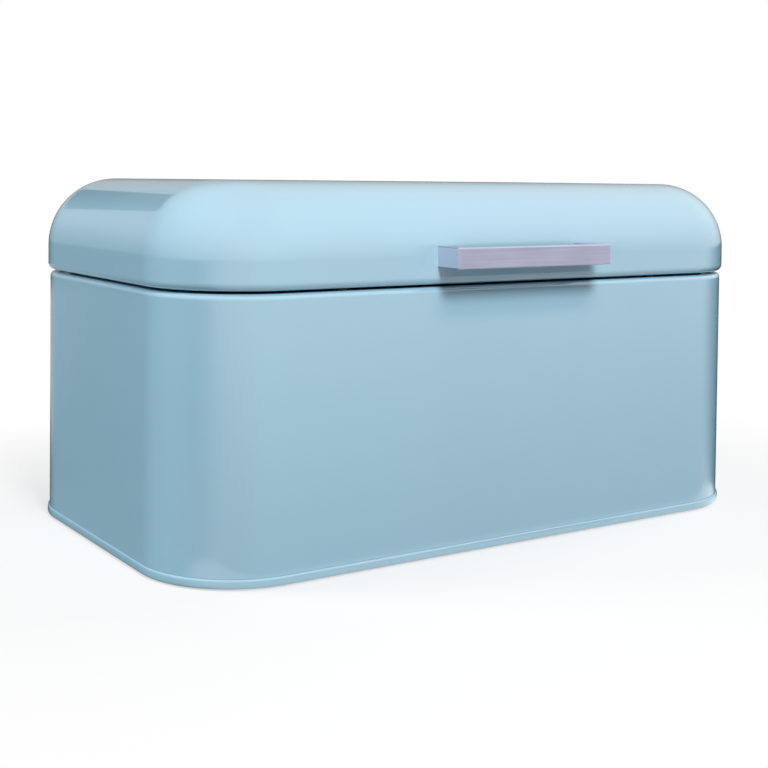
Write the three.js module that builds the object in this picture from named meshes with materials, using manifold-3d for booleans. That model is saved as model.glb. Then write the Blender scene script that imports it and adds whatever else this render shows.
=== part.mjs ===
// Retro bread box in painted sheet steel: a rolled body with a seamed-on base, and a pressed
// lid on two riveted hinges, with a square bar handle. Millimetres, +Z up, handle towards -Y.
import * as THREE from "three";
import { mergeVertices } from "three/addons/utils/BufferGeometryUtils.js";
import Module from "manifold-3d";

const wasm = await Module();
wasm.setup();

// The closed box
const lidLength = 420; // left to right, outside
const lidDepth = 254; // front to back, outside, without handle and hinges
const cornerRadius = 58; // the lid's upright corners, seen from above
const seamLine = 155.5; // table to the middle of the gap under the lid, where the hinges turn
const lidWall = 16.5; // seam line to the foot of the lid's crown
const crownRadius = 42; // round between the lid's wall and its flat top
const sheet = 0.6; // steel and its paint
const rimGap = 1.4; // between the body's rim and the lid's rim
const lidOverhang = 1.3; // the lid's wall outside the body's wall
const openAngle = 100; // degrees that the lid opens

// Clearances
const seatGap = 0.15; // paint film between two fastened pieces
const shankPlay = 0.15; // round a rivet or screw in its hole
const pinPlay = 0.1; // round a hinge pin in its knuckles
const overrun = 2; // how far a cutter runs past what it cuts

// Body wall
const bodyBend = 3; // outside bend from the wall into the ledge
const bodyLedge = 12; // width of the turned-in ledge
const bodyLip = 6; // depth of the ledge's turned-down edge
const lipBend = 1.5; // outside bend from either ledge into its lip
const wallSeamWidth = 7; // lock seam that closes the wall at the back, folded to the inside
const wallSeamFold = 1.2;
const wallSeamMargin = 2; // from the lock seam's ends to the base and to the ledge's bend
const ventRadius = 2.25;
const ventPitch = 12;
const ventColumns = 4; // in each of the two groups
const ventRows = 2;
const ventGroupSpacing = 80; // between the middles of the two groups
const ventDrop = 40; // seam line to the middle of the groups, out of sight through the gap

// Base pan
const feetProud = 1; // feet below the rolled seam
const rollHeight = 5; // rolled seam between base and wall
const rollHook = 0.9; // the seam's outer hook, doubled and pressed flat
const rollPlay = 0.3; // round the wall's foot inside the seam
const rollBend = 1; // outside bend at the seam's lower edges
const panelBend = 1.2; // outside bend from the seam into the panel
const fieldInset = 26; // from the lid's outline to the panel's pressed field
const fieldSlope = 3;
const fieldRise = 1.2;

// Rubber feet
const footInset = 52; // from the lid's outline to the foot's middle, both ways
const footTopRadius = 9;
const footBottomRadius = 7.5;
const footRound = 1;

// Lid
const lidBend = 4; // outside bend from the lid's wall into its ledge
const lidLedge = 13.6;
const lidLip = 6;

// Handle
const screwSpacing = 101.6;
const handleLeg = 12; // width of each leg, and what the bar runs past the screws in all
const handleHeight = 12;
const handleReach = 20; // lid's wall to the front of the bar
const handleBar = 8; // depth of the bar in front of the finger gap
const handleRise = 16.5; // seam line to the middle of the bar
const handleEdge = 0.6; // bevel along the bar's long edges
const handleCorner = 1; // round on the bar's two upright front edges
const handleThroat = 3; // round inside the finger gap

// Handle screws and their washers
const screwRadius = 2;
const screwBite = 8; // how far a screw runs into the handle's leg
const screwHeadRadius = 3.8;
const screwHeadHeight = 2.2;
const screwRecessLength = 4.4;
const screwRecessWidth = 1;
const screwRecessDepth = 1.2;
const washerRadius = 4.5;
const washerThickness = 0.8;

// Rim buffers, which the closed lid lies on
const bufferMargin = 37; // from the corner's round to the buffer's middle
const bufferHeadRadius = 3;
const bufferStemRadius = 1.5;
const bufferBarbRadius = 2.3;
const bufferBarbHeight = 1.6;

// Hinges
const hingeMargin = 19; // from the corner's round to the hinge's edge
const hingeWidth = 36;
const hingeSheet = 1;
const pinRadius = 1.5;
const pinHeadRadius = 2.2;
const pinHeadHeight = 0.8;
const knuckleGap = 0.4; // along the pin, between two knuckles
const knuckleWrap = 295; // degrees that a leaf curls round the pin
const leafClear = 0.4; // between a leaf's edge and the other leaf's knuckle
const lidLeafHeight = 14; // pin to the leaf's upper edge
const bodyLeafHeight = 24; // pin to the leaf's lower edge
const leafStep = 4; // pin to where the body's leaf steps back to the wall
const leafStepHeight = 3;
const stopWidth = 8; // tab on the body's leaf that the open lid's leaf rests on
const stopReach = 8; // pin to the tab's tip
const stopRoot = 8.2; // pin down to the tab's root
const stopWindow = 10; // height of the window that the tab is lanced from
const stopGap = 0.3; // tab's tip to the open leaf

// Rivets in the hinge leaves
const rivetSpacing = 22;
const rivetRadius = 1.5;
const rivetHeadRadius = 3;
const rivetHeadHeight = 1.4;
const rivetTailRadius = 2.4;
const rivetTailHeight = 1;
const lidRivetRise = 9.5; // pin to the lid's rivets
const bodyRivetDrop = 16; // pin to the body's rivets

// Steps in the round shapes
const cornerSteps = 8; // a quarter turn of the outline
const crownSteps = 7;
const bendSteps = 3;
const roundSteps = 18; // a full turn of a pin, rivet, screw or foot
const ventSteps = 12;
const fullTurn = 2 * Math.PI;
const quarterTurn = fullTurn / 4;

// Heights above the table
const bodyRimTop = seamLine - rimGap / 2;
const lidRimBottom = seamLine + rimGap / 2;
const crownFoot = seamLine + lidWall;
const rollBottom = feetProud;
const rollTop = rollBottom + rollHeight;
const panelUnderside = rollTop - sheet;
const wallFoot = rollBottom + sheet + rollPlay;

// Colours of the photographed finishes
const paintBlue = 0x9fc6d9;
const brushedSteel = 0xb4b2c2;
const zincGrey = 0xa9adb2;
const rubberGrey = 0x4b4e52;

function finish(colour, roughness, metalness) {
  return new THREE.MeshStandardMaterial({ color: colour, roughness, metalness });
}

function named(name, geometry, material) {
  const mesh = new THREE.Mesh(geometry, material);
  mesh.name = name;
  return mesh;
}

// A closed solid from a three.js geometry, with its collapsed triangles left out
function solidFrom(geometry) {
  const bare = geometry.index ? geometry.toNonIndexed() : geometry.clone();
  bare.deleteAttribute("normal");
  bare.deleteAttribute("uv");
  const merged = mergeVertices(bare);
  const corners = merged.index.array;
  const kept = [];
  for (let i = 0; i < corners.length; i += 3) {
    const [a, b, c] = corners.subarray(i, i + 3);
    if (a !== b && b !== c && c !== a) kept.push(a, b, c);
  }
  return new wasm.Manifold(
    new wasm.Mesh({
      numProp: 3,
      vertProperties: new Float32Array(merged.attributes.position.array),
      triVerts: new Uint32Array(kept),
    }),
  );
}

function geometryOf(solid) {
  const made = solid.getMesh();
  return new THREE.BufferGeometry()
    .setAttribute("position", new THREE.BufferAttribute(made.vertProperties, 3))
    .setIndex(new THREE.BufferAttribute(made.triVerts, 1));
}

// The solid less all the cutters
function cut(solid, cutters) {
  return cutters.reduce((left, cutter) => left.subtract(cutter), solid);
}

// A drill along Y, centred on a point
function drillY(x, y, z, radius, length, steps) {
  return solidFrom(new THREE.CylinderGeometry(radius, radius, length, steps).translate(x, y, z));
}

// A drill along Z, centred on a point
function drillZ(x, y, z, radius, length, steps) {
  const drill = new THREE.CylinderGeometry(radius, radius, length, steps);
  return solidFrom(drill.rotateX(quarterTurn).translate(x, y, z));
}

// A box by its lowest and highest corners
function block(low, high) {
  const size = high.map((value, i) => value - low[i]);
  const middle = high.map((value, i) => (value + low[i]) / 2);
  return solidFrom(new THREE.BoxGeometry(...size).translate(...middle));
}

// A turned piece about Y from its outline [radius, along]
function turned(outline, steps) {
  return new THREE.LatheGeometry(
    outline.map(([radius, along]) => new THREE.Vector2(radius, along)),
    steps,
  );
}

// Section points [inset, height] along an arc: 0 degrees points inwards, 90 up and 180 outwards
function arc(inset, height, radius, from, to, steps) {
  return Array.from({ length: steps + 1 }, (_, i) => {
    const angle = THREE.MathUtils.degToRad(from + ((to - from) * i) / steps);
    return [inset + radius * Math.cos(angle), height + radius * Math.sin(angle)];
  });
}

// The rounded rectangle that lies inset inside the lid's outline, at one height
function outlineAt(inset, height) {
  const radius = Math.max(cornerRadius - inset, sheet);
  const middleX = lidLength / 2 - inset - radius;
  const middleY = lidDepth / 2 - inset - radius;
  const corners = [
    [middleX, middleY],
    [-middleX, middleY],
    [-middleX, -middleY],
    [middleX, -middleY],
  ];
  return corners.flatMap(([x, y], quarter) =>
    Array.from({ length: cornerSteps + 1 }, (_, i) => {
      const angle = (quarter + i / cornerSteps) * quarterTurn;
      return [x + radius * Math.cos(angle), y + radius * Math.sin(angle), height];
    }),
  );
}

// Sweeps a section of [inset, height] points round the box. A section that isn't closed on
// itself is a pan: its first point ends in a panel that faces down, its last in one that faces up.
function sweptRound(section, closed) {
  const loops = section.map(([inset, height]) => outlineAt(inset, height));
  const around = loops[0].length;
  const points = loops.flat();
  const faces = [];
  const strips = closed ? loops.length : loops.length - 1;
  for (let j = 0; j < strips; j++) {
    const lower = j * around;
    const upper = ((j + 1) % loops.length) * around;
    for (let i = 0; i < around; i++) {
      const next = (i + 1) % around;
      faces.push(lower + i, lower + next, upper + next);
      faces.push(lower + i, upper + next, upper + i);
    }
  }
  if (!closed) {
    const last = (loops.length - 1) * around;
    const underside = points.push([0, 0, loops[0][0][2]]) - 1;
    const topside = points.push([0, 0, loops[loops.length - 1][0][2]]) - 1;
    for (let i = 0; i < around; i++) {
      const next = (i + 1) % around;
      faces.push(underside, next, i);
      faces.push(topside, last + i, last + next);
    }
  }
  return new THREE.BufferGeometry()
    .setAttribute("position", new THREE.Float32BufferAttribute(points.flat(), 3))
    .setIndex(faces);
}

// Where the hinge pins turn, behind the lid's back wall
const leafInside = pinRadius + pinPlay; // pin to the side of a leaf that faces it
const knuckleRadius = leafInside + hingeSheet;
const hingeAxisY = lidDepth / 2 + seatGap + knuckleRadius;
const bodyBackY = lidDepth / 2 - lidOverhang; // outside of the body's back wall
const sides = { left: -1, right: 1 };
const cornerStart = lidLength / 2 - cornerRadius; // middle of the box to the corners' rounds
const hingeX = cornerStart - hingeMargin - hingeWidth / 2;
const bufferX = cornerStart - bufferMargin;
const rivetPlaces = { outer: rivetSpacing / 2, inner: -rivetSpacing / 2 };
const handleLength = screwSpacing + handleLeg;
const handleZ = seamLine + handleRise;
const bufferInset = lidOverhang + (bodyBend + bodyLedge - lipBend) / 2; // middle of the ledge's flat

// Every place where a rivet goes through, as [x, z], at one height from the pins
function rivetHoles(rise) {
  return Object.values(sides).flatMap((sign) =>
    Object.values(rivetPlaces).map((along) => [sign * (hingeX + along), seamLine + rise]),
  );
}

// The wall is one strip rolled round the box, closed by a lock seam at the back. Its upper edge
// turns in as a ledge and down again as a lip, and its foot stands in the base's rolled seam.
function bodyWall() {
  const outside = lidOverhang;
  const lipSide = outside + bodyLedge;
  const section = [
    [outside, wallFoot],
    ...arc(outside + bodyBend, bodyRimTop - bodyBend, bodyBend, 180, 90, bendSteps),
    ...arc(lipSide - lipBend, bodyRimTop - lipBend, lipBend, 90, 0, bendSteps),
    [lipSide, bodyRimTop - bodyLip],
    [lipSide - sheet, bodyRimTop - bodyLip],
    ...arc(lipSide - lipBend, bodyRimTop - lipBend, lipBend - sheet, 0, 90, bendSteps),
    ...arc(outside + bodyBend, bodyRimTop - bodyBend, bodyBend - sheet, 90, 180, bendSteps),
    [outside + sheet, wallFoot],
  ];
  const insideY = bodyBackY - sheet;
  const lockSeam = block(
    [-wallSeamWidth / 2, insideY - wallSeamFold, rollTop + wallSeamMargin],
    [wallSeamWidth / 2, insideY + sheet / 2, bodyRimTop - bodyBend - wallSeamMargin],
  );
  const drillLength = sheet + 2 * overrun;
  const middleY = bodyBackY - sheet / 2;
  const vents = [];
  for (const sign of Object.values(sides)) {
    for (let column = 0; column < ventColumns; column++) {
      for (let row = 0; row < ventRows; row++) {
        const x = (sign * ventGroupSpacing) / 2 + (column - (ventColumns - 1) / 2) * ventPitch;
        const z = seamLine - ventDrop + (row - (ventRows - 1) / 2) * ventPitch;
        vents.push(drillY(x, middleY, z, ventRadius, drillLength, ventSteps));
      }
    }
  }
  const rivets = rivetHoles(-bodyRivetDrop).map(([x, z]) =>
    drillY(x, middleY, z, rivetRadius + shankPlay, drillLength, ventSteps),
  );
  const stemHoles = Object.values(sides).map((sign) =>
    drillZ(
      sign * bufferX,
      bufferInset - lidDepth / 2,
      bodyRimTop - sheet / 2,
      bufferStemRadius + shankPlay,
      drillLength,
      ventSteps,
    ),
  );
  const wall = solidFrom(sweptRound(section, true)).add(lockSeam);
  return geometryOf(cut(wall, [...vents, ...rivets, ...stemHoles]));
}

// The base is a pressed pan. Its edge goes down inside the wall's foot, under it and up outside
// as a hook, which makes the rolled seam round the foot of the box.
function basePan() {
  const hookSide = lidOverhang - rollPlay - rollHook;
  const channelSide = lidOverhang + sheet + rollPlay;
  const legSide = channelSide + sheet;
  const panelTop = panelUnderside + sheet;
  const hookRound = rollHook / 2;
  return sweptRound(
    [
      [fieldInset + fieldSlope, panelUnderside + fieldRise],
      [fieldInset, panelUnderside],
      [legSide, panelUnderside],
      ...arc(legSide - rollBend, rollBottom + rollBend, rollBend, 0, -90, bendSteps),
      ...arc(hookSide + rollBend, rollBottom + rollBend, rollBend, 270, 180, bendSteps),
      ...arc(hookSide + hookRound, rollTop - hookRound, hookRound, 180, 0, bendSteps),
      [lidOverhang - rollPlay, rollBottom + sheet],
      [channelSide, rollBottom + sheet],
      ...arc(channelSide + panelBend, panelTop - panelBend, panelBend, 180, 90, bendSteps),
      [fieldInset, panelTop],
      [fieldInset + fieldSlope, panelTop + fieldRise],
    ],
    false,
  );
}

// The lid is one pressed shell. Its wall turns in at the lower edge as a ledge, and up as a lip.
function lidShell() {
  const inner = crownRadius - sheet;
  const bendHeight = lidRimBottom + lidBend;
  const lipHeight = lidRimBottom + lipBend;
  const section = [
    ...arc(crownRadius, crownFoot, inner, 90, 180, crownSteps),
    ...arc(lidBend, bendHeight, lidBend - sheet, 180, 270, bendSteps),
    ...arc(lidLedge - lipBend, lipHeight, lipBend - sheet, 270, 360, bendSteps),
    [lidLedge - sheet, lidRimBottom + lidLip],
    [lidLedge, lidRimBottom + lidLip],
    ...arc(lidLedge - lipBend, lipHeight, lipBend, 360, 270, bendSteps),
    ...arc(lidBend, bendHeight, lidBend, 270, 180, bendSteps),
    ...arc(crownRadius, crownFoot, crownRadius, 180, 90, crownSteps),
  ];
  const drillLength = sheet + 2 * overrun;
  const backY = lidDepth / 2 - sheet / 2;
  const rivets = rivetHoles(lidRivetRise).map(([x, z]) =>
    drillY(x, backY, z, rivetRadius + shankPlay, drillLength, ventSteps),
  );
  const screws = Object.values(sides).map((sign) =>
    drillY(
      (sign * screwSpacing) / 2,
      -backY,
      handleZ,
      screwRadius + shankPlay,
      drillLength,
      ventSteps,
    ),
  );
  return geometryOf(cut(solidFrom(sweptRound(section, false)), [...rivets, ...screws]));
}

// The handle is a square bar with a leg at each end, drawn from above with the lid's wall on
// y = 0. The legs' ends follow the foot of the lid's crown, and each has a threaded hole.
function handle() {
  const halfLength = handleLength / 2;
  const throatX = halfLength - handleLeg;
  const throatY = -(handleReach - handleBar);
  const edge = handleEdge; // the bevel grows outwards by this much again
  const shape = new THREE.Shape()
    .moveTo(-halfLength + edge, overrun)
    .lineTo(-halfLength + edge, -handleReach + handleCorner)
    .lineTo(-halfLength + handleCorner, -handleReach + edge)
    .lineTo(halfLength - handleCorner, -handleReach + edge)
    .lineTo(halfLength - edge, -handleReach + handleCorner)
    .lineTo(halfLength - edge, overrun)
    .lineTo(throatX + edge, overrun)
    .lineTo(throatX + edge, throatY + handleThroat)
    .absarc(
      throatX - handleThroat,
      throatY + handleThroat,
      handleThroat + edge,
      0,
      -quarterTurn,
      true,
    )
    .lineTo(-throatX + handleThroat, throatY - edge)
    .absarc(
      -throatX + handleThroat,
      throatY + handleThroat,
      handleThroat + edge,
      -quarterTurn,
      -2 * quarterTurn,
      true,
    )
    .lineTo(-throatX - edge, overrun);
  const bar = new THREE.ExtrudeGeometry(shape, {
    depth: handleHeight - 2 * edge,
    bevelThickness: edge,
    bevelSize: edge,
    bevelSegments: 1,
    curveSegments: bendSteps,
  }).translate(0, 0, edge - handleHeight / 2);
  const holes = Object.values(sides).map((sign) =>
    drillY(
      (sign * screwSpacing) / 2,
      0,
      0,
      screwRadius + shankPlay,
      2 * (screwBite + overrun / 2),
      roundSteps,
    ),
  );
  const lidSide = sweptRound(
    [
      [-seatGap, 0],
      ...arc(crownRadius, crownFoot, crownRadius + seatGap, 180, 90, crownSteps),
    ],
    false,
  ).translate(0, lidDepth / 2, -handleZ);
  return geometryOf(cut(solidFrom(bar), [solidFrom(lidSide), ...holes]));
}

// How far the inside of the crown, with its flat steps, has come in at a height
function crownDrop(height) {
  const radius = crownRadius - sheet;
  const rise = Math.min(Math.max(height - crownFoot, 0), radius);
  const flats = radius * (1 - Math.cos(quarterTurn / crownSteps / 2));
  return radius - Math.sqrt(radius ** 2 - rise ** 2) + (rise > 0 ? flats : 0);
}

const washerSeat = sheet + crownDrop(handleZ + washerRadius) + seatGap; // lid's outside to washer
const screwSeat = washerSeat + washerThickness + seatGap; // lid's outside to the screw's head

// A flat washer round y = 0 and up
function washer() {
  const hole = screwRadius + shankPlay;
  return turned(
    [
      [hole, 0],
      [washerRadius, 0],
      [washerRadius, washerThickness],
      [hole, washerThickness],
      [hole, 0],
    ],
    roundSteps,
  );
}

// A pan head screw with a crossed recess. Its head sits on y = 0 and its shank points to -Y.
function screw() {
  const shank = screwSeat + screwBite;
  const body = turned(
    [
      [0, -shank],
      [screwRadius, -shank],
      [screwRadius, 0],
      [screwHeadRadius, 0],
      [screwHeadRadius, screwHeadHeight / 2],
      [screwHeadRadius * Math.SQRT1_2, screwHeadHeight],
      [0, screwHeadHeight],
    ],
    roundSteps,
  );
  const long = screwRecessLength / 2;
  const short = screwRecessWidth / 2;
  const floor = screwHeadHeight - screwRecessDepth;
  const above = screwHeadHeight + overrun;
  const recess = block([-long, floor, -short], [long, above, short]).add(
    block([-short, floor, -long], [short, above, long]),
  );
  return geometryOf(cut(solidFrom(body), [recess]));
}

// A rubber foot, stuck to the underside of the pressed field, from z = 0 up
function foot() {
  const height = panelUnderside + fieldRise - seatGap;
  return turned(
    [
      [0, 0],
      [footBottomRadius - footRound, 0],
      [footBottomRadius, footRound],
      [footTopRadius, height],
      [0, height],
    ],
    roundSteps,
  ).rotateX(quarterTurn);
}

// A push-in buffer: its head lies on the ledge, which is at z = 0, and its barb is under it
function rimBuffer() {
  const barbTop = -sheet - seatGap;
  return turned(
    [
      [0, barbTop - bufferBarbHeight],
      [bufferStemRadius, barbTop - bufferBarbHeight],
      [bufferBarbRadius, barbTop],
      [bufferStemRadius, barbTop],
      [bufferStemRadius, seatGap],
      [bufferHeadRadius, seatGap],
      [bufferHeadRadius, rimGap / 2],
      [bufferHeadRadius - seatGap, rimGap - seatGap],
      [0, rimGap - seatGap],
    ],
    roundSteps,
  ).rotateX(quarterTurn);
}

// A domed rivet along Y. Its head sits on y = 0, and its tail is upset past the clamped metal.
function rivet(clamped) {
  const tail = -clamped - 2 * seatGap;
  return turned(
    [
      [0, tail - rivetTailHeight],
      [rivetTailRadius, tail - rivetTailHeight],
      [rivetTailRadius, tail],
      [rivetRadius, tail],
      [rivetRadius, 0],
      [rivetHeadRadius, 0],
      [rivetHeadRadius * Math.cos(quarterTurn / 3), rivetHeadHeight / 2],
      [rivetHeadRadius * Math.cos((2 * quarterTurn) / 3), rivetHeadHeight],
      [0, rivetHeadHeight],
    ],
    roundSteps,
  );
}

// A leaf is drawn in its own side view, with the pin at the origin, y to the back and z up, and
// then given its width along X
function leafStrip(outline, from, to) {
  const shape = new THREE.Shape(outline.map(([y, z]) => new THREE.Vector2(y, z)));
  const strip = new THREE.ExtrudeGeometry(shape, { depth: to - from, steps: 1, bevelEnabled: false });
  return solidFrom(strip.rotateX(quarterTurn).rotateZ(quarterTurn).translate(from, 0, 0));
}

// Points round the pin, from the leaf's side and under it, and back along the inside of the curl.
// With side 1 the leaf stands up from the pin, and with side -1 it hangs down.
function curl(side) {
  const steps = Math.ceil((roundSteps * knuckleWrap) / 360);
  const at = (radius, i) => {
    const angle = THREE.MathUtils.degToRad(180 + (knuckleWrap * i) / steps);
    return [radius * Math.cos(angle), side * radius * Math.sin(angle)];
  };
  const count = Array.from({ length: steps + 1 }, (_, i) => i);
  return [
    ...count.map((i) => at(knuckleRadius, i)),
    ...count.reverse().map((i) => at(leafInside, i)),
  ];
}

const knuckleWidth = (hingeWidth - 2 * knuckleGap) / 3;

// The lid's leaf has the middle knuckle and lies flat on the lid's back wall
function lidLeaf() {
  const half = hingeWidth / 2;
  const low = knuckleRadius + leafClear;
  const plate = block([-half, -knuckleRadius, low], [half, -leafInside, lidLeafHeight]);
  const knuckle = leafStrip(
    [[-knuckleRadius, lidLeafHeight], ...curl(1), [-leafInside, lidLeafHeight]],
    -knuckleWidth / 2,
    knuckleWidth / 2,
  );
  const holes = Object.values(rivetPlaces).map((x) =>
    drillY(
      x,
      -knuckleRadius,
      lidRivetRise,
      rivetRadius + shankPlay,
      2 * (hingeSheet + overrun),
      ventSteps,
    ),
  );
  return geometryOf(cut(plate.add(knuckle), holes));
}

// The body's leaf has the outer knuckles, steps back to the body's wall, which lies inside the
// lid's, and carries the stop tab that the lid's leaf comes to rest on when the lid is open.
function bodyLeaf() {
  const half = hingeWidth / 2;
  const wallSide = bodyBackY + seatGap - hingeAxisY;
  const outSide = wallSide + hingeSheet;
  const stepEnd = leafStep + leafStepHeight;
  const profile = [
    [wallSide, -bodyLeafHeight],
    [outSide, -bodyLeafHeight],
    [outSide, -stepEnd],
    [-leafInside, -leafStep],
  ];
  const stepBack = [
    [-knuckleRadius, -leafStep],
    [wallSide, -stepEnd],
  ];
  const topOfPlate = -(knuckleRadius + leafClear);
  const plate = leafStrip(
    [...profile, [-leafInside, topOfPlate], [-knuckleRadius, topOfPlate], ...stepBack],
    -half,
    half,
  );
  const knuckleOutline = [...profile, ...curl(-1).reverse(), ...stepBack];
  const knuckles = [
    leafStrip(knuckleOutline, -half, -half + knuckleWidth),
    leafStrip(knuckleOutline, half - knuckleWidth, half),
  ];
  const open = THREE.MathUtils.degToRad(openAngle);
  const along = (stopReach + leafInside * Math.cos(open)) / Math.sin(open);
  const tip = new THREE.Vector2(
    stopReach,
    leafInside * Math.sin(open) + along * Math.cos(open) - stopGap,
  );
  const root = new THREE.Vector2(wallSide + hingeSheet / 2, -stopRoot);
  const under = tip.clone().sub(root).normalize().multiplyScalar(hingeSheet);
  const stop = leafStrip(
    [
      [root.x, root.y],
      [root.x + under.y, root.y - under.x],
      [tip.x + under.y, tip.y - under.x],
      [tip.x, tip.y],
    ],
    -stopWidth / 2,
    stopWidth / 2,
  );
  const windowTop = -(stopRoot + 2 * hingeSheet);
  const window = block(
    [-stopWidth / 2, wallSide - overrun, windowTop - stopWindow],
    [stopWidth / 2, outSide + overrun, windowTop],
  );
  const holes = Object.values(rivetPlaces).map((x) =>
    drillY(
      x,
      wallSide,
      -bodyRivetDrop,
      rivetRadius + shankPlay,
      2 * (hingeSheet + overrun),
      ventSteps,
    ),
  );
  const leaf = knuckles.reduce((all, knuckle) => all.add(knuckle), plate.add(stop));
  return geometryOf(cut(leaf, [window, ...holes]));
}

// The pin lies along X with a peened head at each end
function hingePin() {
  const reach = hingeWidth / 2 + seatGap;
  const end = reach + pinHeadHeight;
  const outline = [
    [0, -end],
    [pinRadius, -end],
    [pinHeadRadius, -reach - pinHeadHeight / 2],
    [pinHeadRadius, -reach],
    [pinRadius, -reach],
  ];
  const mirrored = outline.map(([radius, along]) => [radius, -along]).reverse();
  return turned([...outline, ...mirrored], roundSteps).rotateZ(quarterTurn);
}

const paint = finish(paintBlue, 0.28, 0);
const barSteel = finish(brushedSteel, 0.3, 1);
const zinc = finish(zincGrey, 0.38, 1);
const rubber = finish(rubberGrey, 0.8, 0);

// One hinge with its pin, leaves and rivets, about its own pin
function hinge(side) {
  const group = new THREE.Group();
  group.add(
    named(`hinge_pin_${side}`, hingePin(), zinc),
    named(`hinge_body_leaf_${side}`, bodyLeaf(), zinc),
    named(`hinge_lid_leaf_${side}`, lidLeaf(), zinc),
  );
  const lidRivet = rivet(hingeSheet + seatGap + sheet);
  const bodyRivet = rivet(hingeSheet + seatGap + sheet);
  for (const [place, along] of Object.entries(rivetPlaces)) {
    const x = sides[side] * along;
    const ofLid = named(`rivet_lid_${side}_${place}`, lidRivet, zinc);
    ofLid.position.set(x, seatGap - leafInside, lidRivetRise);
    const ofBody = named(`rivet_body_${side}_${place}`, bodyRivet, zinc);
    ofBody.position.set(x, bodyBackY + 2 * seatGap + hingeSheet - hingeAxisY, -bodyRivetDrop);
    group.add(ofLid, ofBody);
  }
  group.position.set(sides[side] * hingeX, hingeAxisY, seamLine);
  return group;
}

// The handle on the lid's front wall, with its screws and washers
function handleSet() {
  const group = new THREE.Group();
  group.add(named("handle", handle(), barSteel));
  for (const [side, sign] of Object.entries(sides)) {
    const ring = named(`handle_washer_${side}`, washer(), zinc);
    ring.position.set((sign * screwSpacing) / 2, washerSeat, 0);
    const bolt = named(`handle_screw_${side}`, screw(), zinc);
    bolt.position.set((sign * screwSpacing) / 2, screwSeat, 0);
    group.add(ring, bolt);
  }
  group.position.set(0, -lidDepth / 2, handleZ);
  return group;
}

// The body with its base, feet and rim buffers
function bodySet() {
  const group = new THREE.Group();
  group.add(named("body_wall", bodyWall(), paint), named("base_pan", basePan(), paint));
  for (const [side, sign] of Object.entries(sides)) {
    for (const [end, way] of [
      ["front", -1],
      ["back", 1],
    ]) {
      const pad = named(`foot_${end}_${side}`, foot(), rubber);
      pad.position.set(sign * (lidLength / 2 - footInset), way * (lidDepth / 2 - footInset), 0);
      group.add(pad);
    }
    const buffer = named(`rim_buffer_${side}`, rimBuffer(), rubber);
    buffer.position.set(sign * bufferX, bufferInset - lidDepth / 2, bodyRimTop);
    group.add(buffer);
  }
  return group;
}

const breadBox = new THREE.Group();
breadBox.add(
  bodySet(),
  named("lid_shell", lidShell(), paint),
  handleSet(),
  hinge("left"),
  hinge("right"),
);

// The origin lies on the table, under the middle of the whole box with its handle and hinges
const bounds = new THREE.Box3().setFromObject(breadBox);
breadBox.position.y = -(bounds.min.y + bounds.max.y) / 2;

export default breadBox;
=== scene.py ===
from math import cos, pi, radians, sin, sqrt

import bmesh
import bpy
from mathutils import Matrix, Vector


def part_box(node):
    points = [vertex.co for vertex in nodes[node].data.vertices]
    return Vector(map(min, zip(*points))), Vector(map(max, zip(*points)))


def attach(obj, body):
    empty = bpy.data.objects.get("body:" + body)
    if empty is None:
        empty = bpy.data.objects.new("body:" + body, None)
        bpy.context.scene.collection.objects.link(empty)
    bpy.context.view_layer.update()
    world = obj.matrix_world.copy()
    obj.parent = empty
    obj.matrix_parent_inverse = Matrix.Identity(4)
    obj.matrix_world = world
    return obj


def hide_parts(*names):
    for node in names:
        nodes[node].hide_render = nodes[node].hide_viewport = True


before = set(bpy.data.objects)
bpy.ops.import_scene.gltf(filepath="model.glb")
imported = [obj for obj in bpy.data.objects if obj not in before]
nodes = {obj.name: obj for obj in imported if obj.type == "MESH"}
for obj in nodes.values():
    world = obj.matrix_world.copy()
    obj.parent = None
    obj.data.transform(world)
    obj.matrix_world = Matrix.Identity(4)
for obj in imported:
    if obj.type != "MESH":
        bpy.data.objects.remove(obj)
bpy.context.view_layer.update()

collection = bpy.context.scene.collection
MM = 0.001

# Camera. It stands off the front left corner of the closed box, at the height of its lid, and
# looks almost level, with the lens shifted down more than it is tipped.
camera_data = bpy.data.cameras.new("camera")
camera_data.sensor_width = 36
camera_data.lens = 61.712
camera_data.shift_y = -0.214856
camera_data.clip_end = 60
camera = bpy.data.objects.new("camera", camera_data)
collection.objects.link(camera)
camera.location = (-0.491623, -0.722623, 0.21542)
camera.rotation_euler = (
    Matrix.Rotation(radians(-33.567), 3, "Z")
    @ Matrix.Rotation(radians(90 - 1.736), 3, "X")
    @ Matrix.Rotation(radians(0.625), 3, "Z")
).to_euler()
bpy.context.scene.camera = camera

# Body wall. One strip of 0.6 mm sheet steel, rolled round the box and closed at the back by a
# lock seam that is folded to the inside. Its upper edge turns in as a ledge and down as a lip,
# air holes are punched high in its back, and the whole is stove enamelled light blue.
lid_low, lid_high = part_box("lid_shell")
plan_middle = Vector(((lid_low.x + lid_high.x) / 2, (lid_low.y + lid_high.y) / 2, 0))
half_length = (lid_high.x - lid_low.x) / 2 / MM
half_depth = (lid_high.y - lid_low.y) / 2 / MM
corner_radius = 58
corner_steps = 26
round_support = 1.6  # beside each round, so that a flat stays flat when shaded
bend_support = 0.8
lip_support = 0.5
sheet = 0.6
seam_line = 155.5
rim_gap = 1.4
body_rim = seam_line - rim_gap / 2
lid_overhang = 1.3
wall_foot = 1.9
roll_top = 6
wall_bend = 3
ledge_width = 12
lip_depth = 6
lip_bend = 1.5


def arc(across, up, radius, start, end, steps):
    """Points along an arc in a section: 0 degrees points inwards, 90 up and 180 outwards."""
    turns = [radians(start + (end - start) * i / steps) for i in range(steps + 1)]
    return [(across + radius * cos(t), up + radius * sin(t)) for t in turns]


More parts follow.
